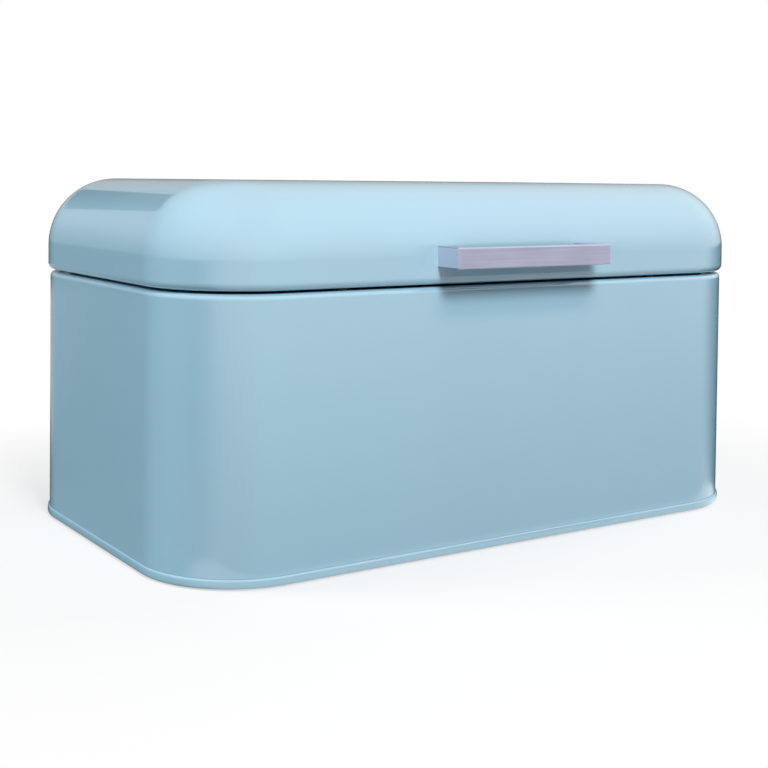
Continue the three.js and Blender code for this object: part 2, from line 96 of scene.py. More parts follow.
def plan_outline(inset, height, dents=()):
    """The box's rounded plan at one height, anticlockwise from the back right corner's round.
    Each dent is a place across the back and how far the outline comes in there."""
    radius = max(corner_radius - inset, sheet)
    across, along = half_length - inset - radius, half_depth - inset - radius
    middles = [(across, along), (-across, along), (-across, -along), (across, -along)]
    points = []
    for quarter, (x, y) in enumerate(middles):
        first, last = quarter * pi / 2, (quarter + 1) * pi / 2
        before = Vector((sin(first), -cos(first)))
        after = Vector((-sin(last), cos(last)))
        turns = [first + (last - first) * i / corner_steps for i in range(corner_steps + 1)]
        bend = [Vector((x + radius * cos(t), y + radius * sin(t))) for t in turns]
        points += [bend[0] + before * round_support, *bend, bend[-1] + after * round_support]
        if quarter == 0:
            points += [Vector((place, half_depth - inset - depth)) for place, depth in dents]
    return [(p.x, p.y, height) for p in points]


def swept(rings, closed):
    """Faces over a row of rings of equal count, either joined round or capped at both ends."""
    around = len(rings[0])
    vertices = [point for ring in rings for point in ring]
    faces = []
    for j in range(len(rings) if closed else len(rings) - 1):
        lower, upper = j * around, (j + 1) % len(rings) * around
        for i in range(around):
            n = (i + 1) % around
            faces.append((lower + i, lower + n, upper + n, upper + i))
    if not closed:
        faces.append(tuple(reversed(range(around))))
        faces.append(tuple(range(len(vertices) - around, len(vertices))))
    return vertices, faces


def piece(name, vertices, faces, middle=(0, 0, 0)):
    """A mesh object from millimetres about a middle that is given in metres."""
    mesh = bpy.data.meshes.new(name)
    place = Vector(middle)
    mesh.from_pydata([Vector(v) * MM + place for v in vertices], [], faces)
    made = bpy.data.objects.new(name, mesh)
    collection.objects.link(made)
    return made


def shade(made, sharp_from=35):
    """Smooth shading, with the edges sharper than this many degrees left crisp."""
    for face in made.data.polygons:
        face.use_smooth = True
    made.data.set_sharp_from_angle(angle=radians(sharp_from))


def settled(made):
    """The object with its modifiers worked into a plain mesh."""
    evaluated = made.evaluated_get(bpy.context.evaluated_depsgraph_get())
    mesh = bpy.data.meshes.new_from_object(evaluated)
    made.modifiers.clear()
    old = made.data
    made.data = mesh
    mesh.name = made.name
    bpy.data.meshes.remove(old)
    return made


seam_columns = (3.75, 3.5, 3.1, 0.95, 0.35, -0.35, -0.95, -3.1, -3.5, -3.75)
# how far the wall comes in at each column, in the groove outside and on the fold inside
seam_groove = [0.28 if abs(x) < 0.5 else 0 for x in seam_columns]
seam_fold = [1.2 if abs(x) < 3.3 else 0.8 if abs(x) < 3.6 else 0 for x in seam_columns]


def wall_ring(inset, height, depths=None):
    return plan_outline(inset, height, list(zip(seam_columns, depths or [0] * len(seam_columns))))


lip_side = lid_overhang + ledge_width
bend_foot = body_rim - wall_bend
fold_low, fold_high = roll_top + 2, bend_foot - 2
fold_step = 0.5
groove_run_out = 1.2
wall_rings = [
    wall_ring(lid_overhang, wall_foot, seam_groove),
    wall_ring(lid_overhang, bend_foot - 2 * groove_run_out, seam_groove),
    wall_ring(lid_overhang, bend_foot - groove_run_out),
]
for inset, height in (
    *arc(lid_overhang + wall_bend, bend_foot, wall_bend, 180, 90, 10),
    (lid_overhang + wall_bend + bend_support, body_rim),
    (lip_side - lip_bend - lip_support, body_rim),
    *arc(lip_side - lip_bend, body_rim - lip_bend, lip_bend, 90, 0, 7),
    (lip_side, body_rim - lip_bend - lip_support),
    (lip_side, body_rim - lip_depth),
    (lip_side - sheet, body_rim - lip_depth),
    (lip_side - sheet, body_rim - lip_bend - lip_support),
    *arc(lip_side - lip_bend, body_rim - lip_bend, lip_bend - sheet, 0, 90, 7),
    (lip_side - lip_bend - lip_support, body_rim - sheet),
    (lid_overhang + wall_bend + bend_support, body_rim - sheet),
    *arc(lid_overhang + wall_bend, bend_foot, wall_bend - sheet, 90, 180, 10),
):
    wall_rings.append(wall_ring(inset, height))
for height, fold in (
    (bend_foot - 1, None),
    (fold_high, None),
    (fold_high - fold_step, seam_fold),
    (fold_low + fold_step, seam_fold),
    (fold_low, None),
    (wall_foot, None),
):
    wall_rings.append(wall_ring(lid_overhang + sheet, height, fold))
body_wall = piece("body_wall_enamelled", *swept(wall_rings, True), plan_middle)


def node(tree, kind, links=(), **settings):
    """A node of a tree with its settings, and its inputs set to a value or joined to a socket."""
    made = tree.nodes.new(kind)
    for name, value in settings.items():
        setattr(made, name, value)
    for name, value in dict(links).items():
        if isinstance(value, bpy.types.NodeSocket):
            tree.links.new(value, made.inputs[name])
        else:
            made.inputs[name].default_value = value
    return made


def number_node(tree, operation, *values, **settings):
    """The result of a Math node over numbers and sockets."""
    links = dict(enumerate(values))
    return node(tree, "ShaderNodeMath", links, operation=operation, **settings).outputs[0]


def vector_node(tree, operation, *values):
    """The result of a Vector Math node over vectors and sockets, be it a vector or a number."""
    made = node(tree, "ShaderNodeVectorMath", dict(enumerate(values)), operation=operation)
    return made.outputs["Value" if operation in ("DOT_PRODUCT", "LENGTH") else "Vector"]


def scaled(tree, vector, factor):
    """A vector or a colour times a number."""
    links = {0: vector, "Scale": factor}
    return node(tree, "ShaderNodeVectorMath", links, operation="SCALE").outputs["Vector"]


def geometry_tree(name, sockets):
    """An empty Geometry Nodes tree with named inputs, and its group input and output nodes."""
    tree = bpy.data.node_groups.new(name, "GeometryNodeTree")
    tree.interface.new_socket("Geometry", in_out="OUTPUT", socket_type="NodeSocketGeometry")
    for socket, kind in sockets:
        tree.interface.new_socket(socket, in_out="INPUT", socket_type="NodeSocket" + kind)
    return tree, tree.nodes.new("NodeGroupInput"), tree.nodes.new("NodeGroupOutput")


place_sockets = [
    ("Middle", "Vector"),
    ("Wide step", "Vector"),
    ("Wide count", "Int"),
    ("Near step", "Vector"),
    ("Near count", "Int"),
    ("Row step", "Vector"),
    ("Row count", "Int"),
]
places, given, result = geometry_tree("places in rows", place_sockets)
rows = None
for step in ("Row", "Near", "Wide"):
    count, offset = given.outputs[step + " count"], given.outputs[step + " step"]
    gaps = number_node(places, "SUBTRACT", count, 1.0)
    start = scaled(places, offset, number_node(places, "MULTIPLY", gaps, -0.5))
    if step == "Wide":
        start = vector_node(places, "ADD", start, given.outputs["Middle"])
    line = node(
        places,
        "GeometryNodeMeshLine",
        {"Count": count, "Start Location": start, "Offset": offset},
        mode="OFFSET",
    ).outputs[0]
    if rows is None:
        rows = line
        continue
    on_line = node(places, "GeometryNodeInstanceOnPoints", {"Points": line, "Instance": rows})
    rows = node(places, "GeometryNodeRealizeInstances", {0: on_line.outputs[0]}).outputs[0]
places.links.new(rows, result.inputs[0])


def copied(tree, given, instance):
    """A geometry at each of the places in rows, which are fed from the tree's own inputs."""
    group = tree.nodes.new("GeometryNodeGroup")
    group.node_tree = places
    for name, _ in place_sockets:
        tree.links.new(given.outputs[name], group.inputs[name])
    links = {"Points": group.outputs[0], "Instance": instance}
    copies = node(tree, "GeometryNodeInstanceOnPoints", links)
    return node(tree, "GeometryNodeRealizeInstances", {0: copies.outputs[0]}).outputs[0]


def give(tree, given, result, geometry):
    """Ends a tree with its geometry, in the material that the tree is given."""
    links = {"Geometry": geometry, "Material": given.outputs["Finish"]}
    finished = node(tree, "GeometryNodeSetMaterial", links)
    tree.links.new(finished.outputs[0], result.inputs[0])


punching, given, result = geometry_tree(
    "punched holes",
    [("Geometry", "Geometry"), ("Punch", "Object"), *place_sockets, ("Finish", "Material")],
)
punch_mesh = node(punching, "GeometryNodeObjectInfo", {"Object": given.outputs["Punch"]})
cutters = copied(punching, given, punch_mesh.outputs["Geometry"])
punched = node(
    punching,
    "GeometryNodeMeshBoolean",
    {"Mesh 1": given.outputs["Geometry"], "Mesh 2": cutters},
    operation="DIFFERENCE",
    solver="EXACT",
)
whole = node(punching, "GeometryNodeRealizeInstances", {0: punched.outputs["Mesh"]})
give(punching, given, result, whole.outputs[0])


def worked(made, tree, **values):
    """Runs a Geometry Nodes tree on an object with its named inputs, and settles the mesh."""
    modifier = made.modifiers.new(tree.name, "NODES")
    modifier.node_group = tree
    sockets = {s.name: s.identifier for s in tree.interface.items_tree if s.in_out == "INPUT"}
    for name, value in values.items():
        modifier[sockets[name.replace("_", " ")]] = value
    return settled(made)


def turned(outline, steps=48, axis="Z"):
    """A turned piece from its outline of [radius, along]; a radius of zero closes it."""
    vertices, rings = [], []
    for radius, along in outline:
        count = steps if radius > 1e-6 else 1
        ring = []
        for i in range(count):
            t = 2 * pi * i / steps
            x, y = radius * cos(t), radius * sin(t)
            ring.append(len(vertices))
            vertices.append({"Z": (x, y, along), "Y": (y, along, x), "X": (along, x, y)}[axis])
        rings.append(ring)
    faces = []
    for low, high in zip(rings, rings[1:]):
        for i in range(steps):
            a, b = low[i % len(low)], low[(i + 1) % len(low)]
            c, d = high[(i + 1) % len(high)], high[i % len(high)]
            face = tuple(dict.fromkeys((a, b, c, d)))
            if len(face) > 2:
                faces.append(face)
    return vertices, faces


def shader_group(name, inputs, outputs):
    """An empty shader group with named inputs and outputs, and its input and output nodes."""
    tree = bpy.data.node_groups.new(name, "ShaderNodeTree")
    for socket, kind, value in inputs:
        made = tree.interface.new_socket(socket, in_out="INPUT", socket_type="NodeSocket" + kind)
        made.default_value = value
    for socket, kind in outputs:
        tree.interface.new_socket(socket, in_out="OUTPUT", socket_type="NodeSocket" + kind)
    return tree, tree.nodes.new("NodeGroupInput"), tree.nodes.new("NodeGroupOutput")


def lumps(tree, given, detail, roughness):
    """Noise over the object's own places, of the size and the stretch that a group is given."""
    where = node(tree, "ShaderNodeTexCoord").outputs["Object"]
    pulled = vector_node(tree, "MULTIPLY", where, given.outputs["Stretch"])
    per_metre = number_node(tree, "DIVIDE", 1.0, given.outputs["Size"])
    links = {"Vector": pulled, "Scale": per_metre, "Detail": detail, "Roughness": roughness}
    return node(tree, "ShaderNodeTexNoise", links).outputs["Fac"]


def ranged(tree, value, start, end, low=0.0, high=1.0, kind="LINEAR"):
    """A value's way from start to end, as one from low to high that is held beyond them."""
    links = {"Value": value, "From Min": start, "From Max": end, "To Min": low, "To Max": high}
    return node(tree, "ShaderNodeMapRange", links, interpolation_type=kind).outputs[0]


# the tone of a finish drifts a little from place to place, in soft patches
drift, given, result = shader_group(
    "tone drift",
    [
        ("Color", "Color", (1, 1, 1, 1)),
        ("Size", "Float", 0.08),
        ("Amount", "Float", 0.02),
        ("Stretch", "Vector", (1, 1, 1)),
    ],
    [("Color", "Color"), ("Mask", "Float")],
)
patches = lumps(drift, given, 3.0, 0.45)
swing = ranged(drift, patches, 0.3, 0.7, -1.0, 1.0)
share = number_node(drift, "MULTIPLY_ADD", swing, given.outputs["Amount"], 1.0)
drift.links.new(scaled(drift, given.outputs["Color"], share), result.inputs["Color"])
drift.links.new(patches, result.inputs["Mask"])

# a mask along the outer edges, where a finish is made lighter; on the handle's bevels this is a
# painted highlight
edges, given, result = shader_group(
    "edge mask",
    [("Width", "Float", 0.0006), ("Amount", "Float", 0.5)],
    [("Mask", "Float")],
)
rounded = node(edges, "ShaderNodeBevel", {"Radius": given.outputs["Width"]}, samples=4)
true_side = node(edges, "ShaderNodeNewGeometry").outputs["Normal"]
turn = ranged(edges, vector_node(edges, "DOT_PRODUCT", rounded.outputs[0], true_side), 0.98, 0.75)
kept = number_node(edges, "MULTIPLY", turn, given.outputs["Amount"], use_clamp=True)
edges.links.new(kept, result.inputs["Mask"])

# the height of a fine skin, such as orange peel in enamel, grain in rubber or lines of a brush
skin, given, result = shader_group(
    "fine skin",
    [("Size", "Float", 0.002), ("Stretch", "Vector", (1, 1, 1)), ("Detail", "Float", 2.0)],
    [("Height", "Float")],
)
skin.links.new(lumps(skin, given, given.outputs["Detail"], 0.5), result.inputs["Height"])


def group_in(tree, group, **values):
    """A shader group in a material's tree, with its named inputs set."""
    return node(tree, "ShaderNodeGroup", values, node_tree=group)


def mixed(tree, share, first, second):
    """A colour part of the way from one to another, each a value or a socket."""
    links = {"Factor": share, "A": first, "B": second}
    return node(tree, "ShaderNodeMix", links, data_type="RGBA").outputs["Result"]


def finish(name):
    """A new material with its node tree, its Principled BSDF and nothing else joined yet."""
    material = bpy.data.materials.new(name)
    material.use_nodes = True
    tree = material.node_tree
    return material, tree, tree.nodes["Principled BSDF"]


def join_finish(tree, shader, color, roughness, height, strength, depth):
    """Joins a colour, a roughness and the relief of a skin to a finish's shader."""
    links = {"Strength": strength, "Distance": depth, "Height": height}
    relief = node(tree, "ShaderNodeBump", links).outputs[0]
    for name, socket in {"Base Color": color, "Roughness": roughness, "Normal": relief}.items():
        tree.links.new(socket, shader.inputs[name])


# Stove enamel: glossy light blue with a faint orange peel, a little lighter on the edges
enamel, tree, gloss = finish("light_blue_enamel")
gloss.inputs["Coat Weight"].default_value = 1.0
gloss.inputs["Coat Roughness"].default_value = 0.03
gloss.inputs["Coat IOR"].default_value = 1.6
tones = group_in(tree, drift, Color=(0.302, 0.516, 0.645, 1), Size=0.11, Amount=0.012)
lighter_edges = group_in(tree, edges, Width=0.0005, Amount=0.16)
peel = group_in(tree, skin, Size=0.0022, Detail=1.5)
join_finish(
    tree,
    gloss,
    mixed(tree, lighter_edges.outputs["Mask"], tones.outputs["Color"], (0.42, 0.62, 0.72, 1)),
    ranged(tree, tones.outputs["Mask"], 0, 1, 0.2, 0.3),
    peel.outputs["Height"],
    strength=0.35,
    depth=0.00002,
)

vent_radius = 2.25
flare_radius = 2.95
vent_land = 0.12  # half of the hole's straight part
vent_step = 12 * MM
vent_groups_apart = 80 * MM
vents_below_seam = 40
punch_half = [(vent_radius, vent_land), (flare_radius, 1), (0, 1)]
punch = piece(
    "punch", *turned([*[(r, -y) for r, y in punch_half[::-1]], *punch_half], 40, "Y")
)
bpy.context.view_layer.update()
vent_y = half_depth - lid_overhang - sheet / 2
worked(
    body_wall,
    punching,
    Punch=punch,
    Middle=plan_middle + Vector((0, vent_y, seam_line - vents_below_seam)) * MM,
    Wide_step=(vent_groups_apart, 0, 0),
    Wide_count=2,
    Near_step=(vent_step, 0, 0),
    Near_count=4,
    Row_step=(0, 0, vent_step),
    Row_count=2,
    Finish=enamel,
)
bpy.data.objects.remove(punch)
shade(body_wall)
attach(body_wall, "box")
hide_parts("body_wall")

# Base pan. Pressed from the same sheet, with a raised field in its middle. Its edge runs down
# inside the foot of the wall, under it and up outside, rolled tight as a bead round the box.
roll_low = 1
hook_side = 0.1
hook_depth = 0.9
roll_play = 0.3
panel_under = roll_top - sheet
panel_over = roll_top
channel_side = lid_overhang + sheet + roll_play
leg_side = channel_side + sheet
field_inset = 26
field_slope = 3
field_rise = 1.2
bead_steps = 18
bead_squareness = 2.7
bead_middle, bead_half = (roll_low + roll_top) / 2, (roll_top - roll_low) / 2
bead = []
for i in range(bead_steps + 1):
    t = radians(-90 + 180 * i / bead_steps)
    out = max(cos(t), 0) ** (2 / bead_squareness)
    up = abs(sin(t)) ** (2 / bead_squareness) * (1 if t > 0 else -1)
    bead.append((hook_side + hook_depth * (1 - out), bead_middle + bead_half * up))
# the two bends of the field's slope, each as steps in and up
field_bend = [(-0.9, 0), (0, 0.06), (0.9, 0.3)]
field_top = field_inset + field_slope
field = [
    (field_inset - 6, 0),
    *[(field_inset + step, rise) for step, rise in field_bend],
    *[(field_top - step, field_rise - rise) for step, rise in field_bend[::-1]],
    (field_inset + 9, field_rise),
]
under = [(inset, panel_under + rise) for inset, rise in field]
over = [(inset, height + sheet) for inset, height in under]
leg_bend = 1
channel_bend = 1.2
base_section = [
    *reversed(under),
    (leg_side + 0.6, panel_under),
    (leg_side, panel_under - 0.25),
    (leg_side, roll_low + leg_bend + 0.4),
    *arc(leg_side - leg_bend, roll_low + leg_bend, leg_bend, 0, -90, 6),
    *bead,
    (lid_overhang - roll_play, roll_low + sheet),
    (channel_side, roll_low + sheet),
    (channel_side, panel_over - channel_bend - 0.5),
    *arc(channel_side + channel_bend, panel_over - channel_bend, channel_bend, 180, 90, 6),
    *over,
]
base_rings = [plan_outline(inset, height) for inset, height in base_section]
base_pan = piece("base_pan_enamelled", *swept(base_rings, False), plan_middle)
base_pan.data.materials.append(enamel)
shade(base_pan)
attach(base_pan, "box")
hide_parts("base_pan")

# Feet. Four tapered rubber buttons, stuck under the pressed field of the base so that the box
# stands clear of the worktop. They are moulded, with a rounded rim and a shallow dimple below.
copying, given, result = geometry_tree(
    "copies in rows", [("Geometry", "Geometry"), *place_sockets, ("Finish", "Material")]
)
give(copying, given, result, copied(copying, given, given.outputs["Geometry"]))


def set_out(made, middle, finish, wide, near=(0, 0, 0), near_count=1):
    """Copies a piece to both ends of a wide step, and of a near step where it has one."""
    worked(
        made,
        copying,
        Middle=Vector(middle),
        Wide_step=Vector(wide) * MM,
        Wide_count=2,
        Near_step=Vector(near) * MM,
        Near_count=near_count,
        Row_step=(0, 0, 0),
        Row_count=1,
        Finish=finish,
    )
    shade(made)
    return made


# Dark grey moulded rubber, matt, with a fine grain and a little bloom
rubber, tree, matt = finish("dark_grey_rubber")
tones = group_in(tree, drift, Color=(0.062, 0.066, 0.071, 1), Size=0.006, Amount=0.16)
lighter_edges = group_in(tree, edges, Width=0.0004, Amount=0.35)
grain = group_in(tree, skin, Size=0.00045, Detail=3.0)
join_finish(
    tree,
    matt,
    mixed(tree, lighter_edges.outputs["Mask"], tones.outputs["Color"], (0.13, 0.135, 0.14, 1)),
    ranged(tree, tones.outputs["Mask"], 0, 1, 0.68, 0.86),
    grain.outputs["Height"],
    strength=0.5,
    depth=0.00005,
)

fit_gap = 0.15  # between pieces that lie on each other
foot_inset = 52
foot_height = panel_under + field_rise - fit_gap
sole_radius = 6.5
sole_turns = [radians(degrees) for degrees in range(15, 91, 15)]
feet = piece(
    "rubber_feet",
    *turned(
        [
            (0, 0.5),
            (2.6, 0.5),
            (3.4, 0.12),
            (4, 0),
            (sole_radius, 0),
            *[(sole_radius + sin(t), 1 - cos(t)) for t in sole_turns],
            (8.9, foot_height - 0.5),
            (8.92, foot_height - 0.15),
            (8.7, foot_height),
            (0, foot_height),
        ]
    ),
)
feet_wide = (2 * (half_length - foot_inset), 0, 0)
feet_deep = (0, 2 * (half_depth - foot_inset), 0)
set_out(feet, plan_middle, rubber, feet_wide, feet_deep, 2)
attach(feet, "box")
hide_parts(*[n for n in nodes if n.startswith("foot_")])

# Rim buffers. Two small rubber buttons pushed into holes in the body's front ledge. Their
# barbs spread under the sheet, and the closed lid lies on their domed heads.
buffer_past_round = 37
buffer_x = half_length - corner_radius - buffer_past_round
buffer_inset = lid_overhang + (wall_bend + ledge_width - lip_bend) / 2
buffers = piece(
    "rim_buffers",
    *turned(
        [
            (0, -2.35),
            (1.3, -2.35),
            (1.5, -2.2),
            (2.3, -0.85),
            (2.2, -0.75),
            (1.5, -0.75),
            (1.5, 0.15),
            (2.9, 0.15),
            (3, 0.25),
            (3, 0.62),
            (2.9, 0.85),
            (2.6, 1.05),
            (2, 1.18),
            (1, 1.24),
            (0, 1.25),
        ],
        36,
    ),
)
set_out(
    buffers,
    plan_middle + Vector((0, buffer_inset - half_depth, body_rim)) * MM,
    rubber,
    (2 * buffer_x, 0, 0),
)
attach(buffers, "box")
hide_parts("rim_buffer_left", "rim_buffer_right")

# Lid. One deep pressing of the same sheet, with a round crown on all four sides. Its wall turns
# in at the lower edge as a ledge and up again as a lip, and it is enamelled as the body is.
lid_rim = seam_line + rim_gap / 2
crown_radius = 42
crown_foot = seam_line + 16.5
crown_steps = 26
lid_bend = 4
lid_ledge = 13.6
lid_lip = 6


def crown(radius):
    return arc(crown_radius, crown_foot, radius, 90, 180, crown_steps)


def lid_ledge_section(thickness):
    """From the foot of the wall's bend round the ledge to the top of the lip."""
    return [
        (thickness, lid_rim + lid_bend + 0.9),
        *arc(lid_bend, lid_rim + lid_bend, lid_bend - thickness, 180, 270, 10),
        (lid_bend + bend_support, lid_rim + thickness),
        (lid_ledge - lip_bend - lip_support, lid_rim + thickness),
        *arc(lid_ledge - lip_bend, lid_rim + lip_bend, lip_bend - thickness, 270, 360, 7),
        (lid_ledge - thickness, lid_rim + lip_bend + lip_support),
        (lid_ledge - thickness, lid_rim + lid_lip),
    ]


inside = [
    (crown_radius + 2, crown_foot + crown_radius - sheet),
    *crown(crown_radius - sheet),
    (sheet, crown_foot - 1.5),
    *lid_ledge_section(sheet),
]
outside = [
    *reversed(lid_ledge_section(0)),
    (0, crown_foot - 1.5),
    *reversed(crown(crown_radius)),
    (crown_radius + 2, crown_foot + crown_radius),
]
lid = piece(
    "lid_enamelled", *swept([plan_outline(*p) for p in inside + outside], False), plan_middle
)
lid.data.materials.append(enamel)
shade(lid)
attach(lid, "lid")
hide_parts("lid_shell")

# Handle. A square bar of brushed steel with a leg at each end, milled from one piece with all
# its edges bevelled. Its legs stand on the lid's front and are screwed on from inside.
screws_apart = 101.6
leg_width = 12
handle_half = (screws_apart + leg_width) / 2
bar_height = 12
reach = 20
bar_depth = 8
handle_z = crown_foot
bevel = 0.6
front_round = 1
throat = 3
throat_steps = 8
leg_sink = 0.25


def crown_recess(height):
    rise = min(max(height - crown_foot, 0), crown_radius)
    return crown_radius - sqrt(crown_radius**2 - rise**2)


def handle_outline(shrink, height):
    """The bar and its legs from above, made smaller all round by the bevel's share."""
    seat = crown_recess(handle_z + height) + leg_sink
    half, front = handle_half - shrink, -reach + shrink
    inner = handle_half - leg_width + shrink
    back = -(reach - bar_depth) - shrink
    turn = throat + shrink
    soft = front_round - shrink * 0.4
    points = [(-half, seat), (-half, front + soft), (-half + soft, front)]
    points += [(half - soft, front), (half, front + soft), (half, seat), (inner, seat)]
    for side, first in ((1, 0), (-1, -90)):
        for i in range(throat_steps + 1):
            t = radians(first - 90 * i / throat_steps)
            points.append((side * (inner - turn) + turn * cos(t), back + turn + turn * sin(t)))
    points.append((-inner, seat))
    return [(x, y, handle_z + height) for x, y in points]


top = bar_height / 2
seat_heights = (-1, 0, 1.4, 2.8, 4.1)  # the legs' seats follow the crown there
levels = [
    (-top, bevel),
    (-top + bevel, 0),
    *[(height, 0) for height in seat_heights],
    (top - bevel, 0),
    (top, bevel),
]
handle = piece(
    "handle_bar",
    *swept([handle_outline(shrink, height) for height, shrink in levels], False),
    plan_middle - Vector((0, half_depth * MM, 0)),
)

# Brushed steel, its lines along the bar, its colour tinted lavender as a painted reflection, and
# lighter on the bevels and on the cut ends as a painted highlight
steel, tree, metal = finish("brushed_steel")
metal.inputs["Metallic"].default_value = 1
lines = group_in(tree, skin, Size=0.0006, Stretch=(0.012, 1, 1), Detail=4.0).outputs["Height"]
# the lavender in this steel's colour is a painted reflection
tones = group_in(tree, drift, Color=(0.35, 0.355, 0.465, 1), Size=0.03, Amount=0.05)
brushed = scaled(tree, tones.outputs["Color"], ranged(tree, lines, 0.3, 0.7, 0.93, 1.05))
# the bar's two cut ends, found by the way they face, are made lighter: a painted highlight
side = node(tree, "ShaderNodeTexCoord").outputs["Normal"]
along_bar = node(tree, "ShaderNodeSeparateXYZ", {"Vector": side}).outputs["X"]
cut = ranged(tree, number_node(tree, "ABSOLUTE", along_bar), 0.8, 0.97)
end_highlight = mixed(tree, cut, brushed, (0.72, 0.68, 0.76, 1))
# the handle's bevels are made lighter along the edges: a painted highlight
lighter_edges = group_in(tree, edges, Width=0.0004, Amount=0.6)
join_finish(
    tree,
    metal,
    mixed(tree, lighter_edges.outputs["Mask"], end_highlight, (0.68, 0.67, 0.74, 1)),
    ranged(tree, lines, 0.3, 0.7, 0.3, 0.42),
    lines,
    strength=0.4,
    depth=0.00003,
)
handle.data.materials.append(steel)
shade(handle, 30)
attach(handle, "lid")
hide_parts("handle")

# Handle screws and washers. Two 4 mm pan head screws with crossed recesses go through washers
# and the lid's wall into the handle's legs, all zinc plated. They show when the lid is open.
washer_radius = 4.5
washer_sheet = 0.8
crown_inside = crown_radius - sheet
washer_up = handle_z + washer_radius - crown_foot
crown_hollow = crown_inside - sqrt(crown_inside**2 - washer_up**2)
solid_turn = pi / 2 / 7  # of the crown's flats in the solid lid
flat_hollow = crown_inside * (1 - cos(solid_turn / 2))
washer_seat = sheet + fit_gap + crown_hollow + flat_hollow
screw_seat = washer_seat + washer_sheet + fit_gap

# Zinc plate: satin, with a faint spangle and fine scuffs, brighter on the edges
zinc, tree, metal = finish("zinc_plate")
metal.inputs["Metallic"].default_value = 1
tones = group_in(tree, drift, Color=(0.52, 0.535, 0.56, 1), Size=0.012, Amount=0.08)
where = node(tree, "ShaderNodeTexCoord").outputs["Object"]
spangle = node(tree, "ShaderNodeTexVoronoi", {"Vector": where, "Scale": 420.0})
flakes = node(tree, "ShaderNodeSeparateColor", {"Color": spangle.outputs["Color"]}).outputs
plated = scaled(tree, tones.outputs["Color"], ranged(tree, flakes[0], 0, 1, 0.93, 1.05))
lighter_edges = group_in(tree, edges, Width=0.0004, Amount=0.6)
scuffs = group_in(tree, skin, Size=0.0012, Detail=5.0)
join_finish(
    tree,
    metal,
    mixed(tree, lighter_edges.outputs["Mask"], plated, (0.72, 0.73, 0.75, 1)),
    ranged(tree, flakes[1], 0, 1, 0.3, 0.42),
    scuffs.outputs["Height"],
    strength=0.3,
    depth=0.00003,
)

screw_middle = plan_middle + Vector((0, -half_depth, handle_z)) * MM
washers = piece(
    "handle_washers",
    *turned(
        [
            (2.15, 0.1),
            (2.25, 0),
            (washer_radius - 0.1, 0),
            (washer_radius, 0.1),
            (washer_radius, washer_sheet - 0.15),
            (washer_radius - 0.15, washer_sheet),
            (2.3, washer_sheet),
            (2.15, washer_sheet - 0.1),
            (2.15, 0.1),
        ],
        48,
        "Y",
    ),
)
set_out(
    washers, screw_middle + Vector((0, washer_seat, 0)) * MM, zinc, (screws_apart, 0, 0)
)
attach(washers, "lid")
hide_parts("handle_washer_left", "handle_washer_right")


def block(name, low, high):
    """A box between two corners."""
    (a, b, c), (d, e, f) = low, high
    corners = [(x, y, z) for x in (a, d) for y in (b, e) for z in (c, f)]
    sides = [(0, 1, 3, 2), (4, 6, 7, 5), (0, 4, 5, 1), (2, 3, 7, 6), (0, 2, 6, 4), (1, 5, 7, 3)]
    return piece(name, corners, sides)


def combined(made, others, operation):
    """Joins other solids to a piece, or cuts them out of it, and removes them."""
    for other in others:
        modifier = made.modifiers.new("combine", "BOOLEAN")
        modifier.operation = operation
        modifier.object = other
        modifier.solver = "EXACT"
    settled(made)
    for other in others:
        bpy.data.objects.remove(other)
    return made


head_radius = 3.8
head_side = 1.1
head_crown = 1.1
screw_radius = 2
screw_grip = 8  # in the leg
screw_tip = -screw_seat - screw_grip
recess_reach = 2.2
recess_half = 0.5
dome = [
    (head_radius * cos(t) ** 0.55, head_side + head_crown * sin(t))
    for t in [radians(degrees) for degrees in range(0, 90, 15)]
]
screws = piece(
    "handle_screws",
    *turned(
        [
            (0, screw_tip),
            (screw_radius - 0.4, screw_tip),
            (screw_radius, screw_tip + 0.4),
            (screw_radius, 0),
            (head_radius - 0.1, 0),
            (head_radius, 0.1),
            *dome,
            (0, head_side + head_crown),
        ],
        48,
        "Y",
    ),
)
combined(
    screws,
    [
        block("recess", (-recess_reach, 1, -recess_half), (recess_reach, 4, recess_half)),
        block("recess", (-recess_half, 1, -recess_reach), (recess_half, 4, recess_reach)),
    ],
    "DIFFERENCE",
)
set_out(screws, screw_middle + Vector((0, screw_seat, 0)) * MM, zinc, (screws_apart, 0, 0))
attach(screws, "lid")
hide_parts("handle_screw_left", "handle_screw_right")

# Hinges. Two butt hinges of 1 mm zinc plated steel stand on the back of the box. Each body leaf
# is blanked and bent, steps back to the wall below the lid and has a lanced tab as the lid's stop.
pin_radius = 1.5
leaf_inside = pin_radius + 0.1
leaf_sheet = 1
knuckle_radius = leaf_inside + leaf_sheet
hinge_width = 36
hinge_past_round = 19
hinge_x = half_length - corner_radius - hinge_past_round - hinge_width / 2
hinge_y = half_depth + fit_gap + knuckle_radius
knuckle_gap = 0.4
knuckle_width = (hinge_width - 2 * knuckle_gap) / 3
hinge_middle = plan_middle + Vector((0, hinge_y, seam_line)) * MM
curl_steps = 40
curl_turn = 295


def curl(side):
    """Round the pin from the leaf's own side, and back along the inside of the curl."""
    turns = [radians(180 + curl_turn * i / curl_steps) for i in range(curl_steps + 1)]
    outer = [(knuckle_radius * cos(t), side * knuckle_radius * sin(t)) for t in turns]
    inner = [(leaf_inside * cos(t), side * leaf_inside * sin(t)) for t in turns]
    return outer + inner[::-1]


def strip(name, outline, first, last):
    """A leaf's side view of [back, up] given its width along the pin."""
    count = len(outline)
    vertices = [(x, y, z) for x in (first, last) for y, z in outline]
    faces = [tuple(range(count))[::-1], tuple(range(count, 2 * count))]
    for i in range(count):
        n = (i + 1) % count
        faces.append((i, n, n + count, i + count))
    made = piece(name, vertices, faces)
    turn_out(made)
    return made


def turn_out(made):
    """Turns every face of a closed mesh outwards."""
    mesh = bmesh.new()
    mesh.from_mesh(made.data)
    bmesh.ops.recalc_face_normals(mesh, faces=mesh.faces)
    mesh.to_mesh(made.data)
    mesh.free()


